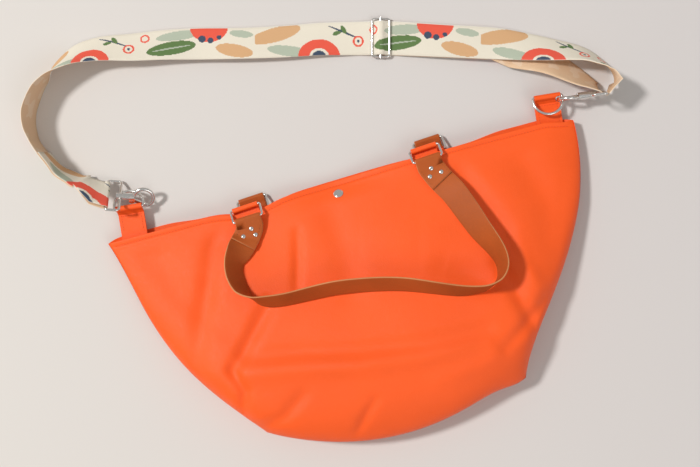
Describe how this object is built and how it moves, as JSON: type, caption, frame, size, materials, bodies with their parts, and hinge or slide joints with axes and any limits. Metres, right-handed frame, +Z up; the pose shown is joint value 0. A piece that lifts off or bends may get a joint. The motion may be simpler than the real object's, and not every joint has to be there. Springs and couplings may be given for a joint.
{
  "type": "trapeze bag",
  "caption": "Soft leather trapeze tote lying on its back, with two handles on wire rings and a woven shoulder strap clipped to D-rings by swivel spring hooks.",
  "frame": {"origin": "On the flat underside of the back panel near the base, on the table under the lying bag; it is the place where the bag rests.", "axes": "X runs along the mouth from the left side to the right side, Y points from the base out through the mouth, Z is up from the table through the front panel."},
  "size_m": [0.6756, 0.536, 0.0843],
  "materials": {
    "orange_leather": "soft pebbled leather, semi-matt",
    "brown_leather": "smooth vegetable-tanned leather with raw tan edges",
    "strap_webbing": "woven jacquard webbing, cream ground with coral, green and tan",
    "nickel": "polished nickel plate",
    "spring_steel": "satin steel"
  },
  "bodies": {
    "bag": {"front_panel": "orange_leather", "back_panel": "orange_leather", "front_facing": "brown_leather", "back_facing": "brown_leather", "snap_cap": "nickel", "snap_socket": "nickel", "snap_stud": "nickel", "snap_back_cap": "nickel", "front_left_tab": "orange_leather", "front_right_tab": "orange_leather", "back_left_tab": "orange_leather", "back_right_tab": "orange_leather", "left_side_tab": "orange_leather", "right_side_tab": "orange_leather", "left_bail": "nickel", "right_bail": "nickel", "strap": "strap_webbing", "slider_frame": "nickel", "slider_bar": "nickel"},
    "front_ring_l": {"front_left_ring": "nickel"},
    "front_ring_r": {"front_right_ring": "nickel"},
    "back_ring_l": {"back_left_ring": "nickel"},
    "back_ring_r": {"back_right_ring": "nickel"},
    "front_grip": {"front_handle": "brown_leather", "front_left_rivets": "nickel", "front_right_rivets": "nickel"},
    "back_grip": {"back_handle": "brown_leather", "back_left_rivets": "nickel", "back_right_rivets": "nickel"},
    "dee_l": {"left_d_ring": "nickel"},
    "dee_r": {"right_d_ring": "nickel"},
    "hook_l": {"left_hook_body": "nickel", "left_hook_pin": "spring_steel"},
    "gate_l": {"left_hook_gate": "spring_steel"},
    "hook_r": {"right_hook_body": "nickel", "right_hook_pin": "spring_steel"},
    "gate_r": {"right_hook_gate": "spring_steel"}
  },
  "joints": [
    {"name": "front_left_ring_lift", "type": "hinge", "parent": "bag", "child": "front_ring_l", "pos_m": [-0.10825, 0.23648, 0.021], "axis": [-0.9978, -0.0668, 0], "range_deg": [0, 95]},
    {"name": "front_right_ring_lift", "type": "hinge", "parent": "bag", "child": "front_ring_r", "pos_m": [0.10825, 0.25098, 0.021], "axis": [-0.9978, -0.0668, 0], "range_deg": [0, 95]},
    {"name": "front_handle_swing", "type": "hinge", "parent": "front_ring_l", "child": "front_grip", "pos_m": [-0.10732, 0.22259, 0.03075], "axis": [-0.9978, -0.0668, 0], "range_deg": [0, 50]},
    {"name": "back_left_ring_lift", "type": "hinge", "parent": "bag", "child": "back_ring_l", "pos_m": [-0.09925, 0.23009, 0.01128], "axis": [0.9978, 0.0668, 0], "range_deg": [0, 48]},
    {"name": "back_right_ring_lift", "type": "hinge", "parent": "bag", "child": "back_ring_r", "pos_m": [0.11725, 0.24458, 0.01128], "axis": [0.9978, 0.0668, 0], "range_deg": [0, 48]},
    {"name": "back_handle_swing", "type": "hinge", "parent": "back_ring_l", "child": "back_grip", "pos_m": [-0.10027, 0.24536, 0.00388], "axis": [0.9978, 0.0668, 0], "range_deg": [0, 90]},
    {"name": "left_d_ring_tip", "type": "hinge", "parent": "bag", "child": "dee_l", "pos_m": [-0.2383, 0.27048, 0.019], "axis": [0.9954, -0.0958, 0], "range_deg": [-3, 0]},
    {"name": "right_d_ring_tip", "type": "hinge", "parent": "bag", "child": "dee_r", "pos_m": [0.262, 0.27248, 0.018], "axis": [-0.9956, 0.0941, 0], "range_deg": [-8, 8]},
    {"name": "left_hook_swivel", "type": "hinge", "parent": "bag", "child": "hook_l", "pos_m": [-0.24437, 0.28581, 0.01965], "axis": [0.9342, -0.3035, -0.1874], "range_deg": [0, 16]},
    {"name": "right_hook_swivel", "type": "hinge", "parent": "bag", "child": "hook_r", "pos_m": [0.31077, 0.26159, 0.02491], "axis": [-0.9727, 0.1367, -0.1874], "range_deg": [-8, 8]},
    {"name": "left_gate_open", "type": "hinge", "parent": "hook_l", "child": "gate_l", "pos_m": [-0.23318, 0.27874, 0.01486], "axis": [-0.0319, -0.5942, 0.8037], "range_deg": [0, 14], "stiffness_Nm_per_rad": 0.01, "springref_deg": -34.38},
    {"name": "right_gate_open", "type": "hinge", "parent": "hook_r", "child": "gate_r", "pos_m": [0.29846, 0.26397, 0.0185], "axis": [0.1074, 0.9815, 0.1587], "range_deg": [0, 15], "stiffness_Nm_per_rad": 0.01, "springref_deg": -34.38}
  ],
  "couplings": [
    {"joint": "front_right_ring_lift", "follows": "front_left_ring_lift", "ratio": 1},
    {"joint": "back_right_ring_lift", "follows": "back_left_ring_lift", "ratio": 1}
  ]
}
